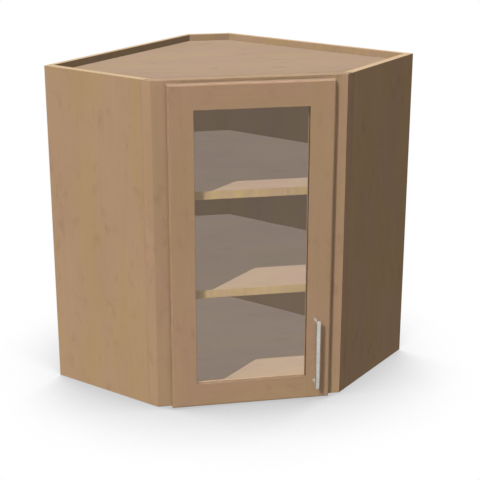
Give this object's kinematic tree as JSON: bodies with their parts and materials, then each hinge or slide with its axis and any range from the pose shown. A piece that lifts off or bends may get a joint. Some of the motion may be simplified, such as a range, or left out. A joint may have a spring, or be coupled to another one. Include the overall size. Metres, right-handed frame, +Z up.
{
  "type": "corner wall cabinet",
  "caption": "Corner wall cabinet with a diagonal face frame, a hinged glass-panel wood door with a bar handle, and loose shelves on pins.",
  "frame": {"origin": "middle of the case's bounding square at the case's underside", "axes": "+Z up; the room's corner is towards -X and +Y; the door's diagonal faces +X and -Y"},
  "size_m": [0.6096, 0.6096, 0.762],
  "materials": {
    "side_veneer": "satin lacquered maple veneer",
    "case_ply": "satin lacquered maple-faced plywood",
    "shelf_edging": "satin edge veneer",
    "frame_wood": "satin lacquered solid maple",
    "clear_glass": "clear float glass",
    "handle_metal": "satin",
    "plated_steel": "bright nickel plate",
    "bumper": "soft matte"
  },
  "bodies": {
    "case": {"bottom_panel": "case_ply", "corner_back_panel": "case_ply", "face_frame_rail_bottom": "frame_wood", "face_frame_rail_top": "frame_wood", "face_frame_stile_left": "frame_wood", "face_frame_stile_right": "frame_wood", "hinge_arm_screws": "plated_steel", "hinge_arms": "plated_steel", "hinge_plates": "plated_steel", "left_back_panel": "case_ply", "left_side_panel": "side_veneer", "lower_shelf_pins": "plated_steel", "right_back_panel": "case_ply", "right_side_panel": "side_veneer", "top_panel": "case_ply", "upper_shelf_pins": "plated_steel"},
    "door": {"door_bumpers": "bumper", "door_rail_bottom": "frame_wood", "door_rail_top": "frame_wood", "door_stile_handle_side": "frame_wood", "door_stile_hinge_side": "frame_wood", "glass_pane": "clear_glass", "glass_stop_bottom": "frame_wood", "glass_stop_handle_side": "frame_wood", "glass_stop_hinge_side": "frame_wood", "glass_stop_top": "frame_wood", "handle_bar": "handle_metal", "handle_posts": "handle_metal", "handle_screws": "handle_metal", "hinge_cups": "plated_steel", "hinge_pins": "plated_steel"},
    "upper_shelf": {"upper_shelf": "case_ply", "upper_shelf_edging": "shelf_edging"},
    "lower_shelf": {"lower_shelf": "case_ply", "lower_shelf_edging": "shelf_edging"}
  },
  "joints": [
    {"name": "door_hinge", "type": "hinge", "parent": "case", "child": "door", "pos_m": [0.03571, -0.28592, 0.381], "axis": [0, 0, -1], "range_deg": [0, 100]},
    {"name": "upper_shelf_lift", "type": "slide", "parent": "case", "child": "upper_shelf", "axis": [0, 0, 1], "range_m": [0, 0.012]},
    {"name": "lower_shelf_lift", "type": "slide", "parent": "case", "child": "lower_shelf", "axis": [0, 0, 1], "range_m": [0, 0.012]}
  ]
}
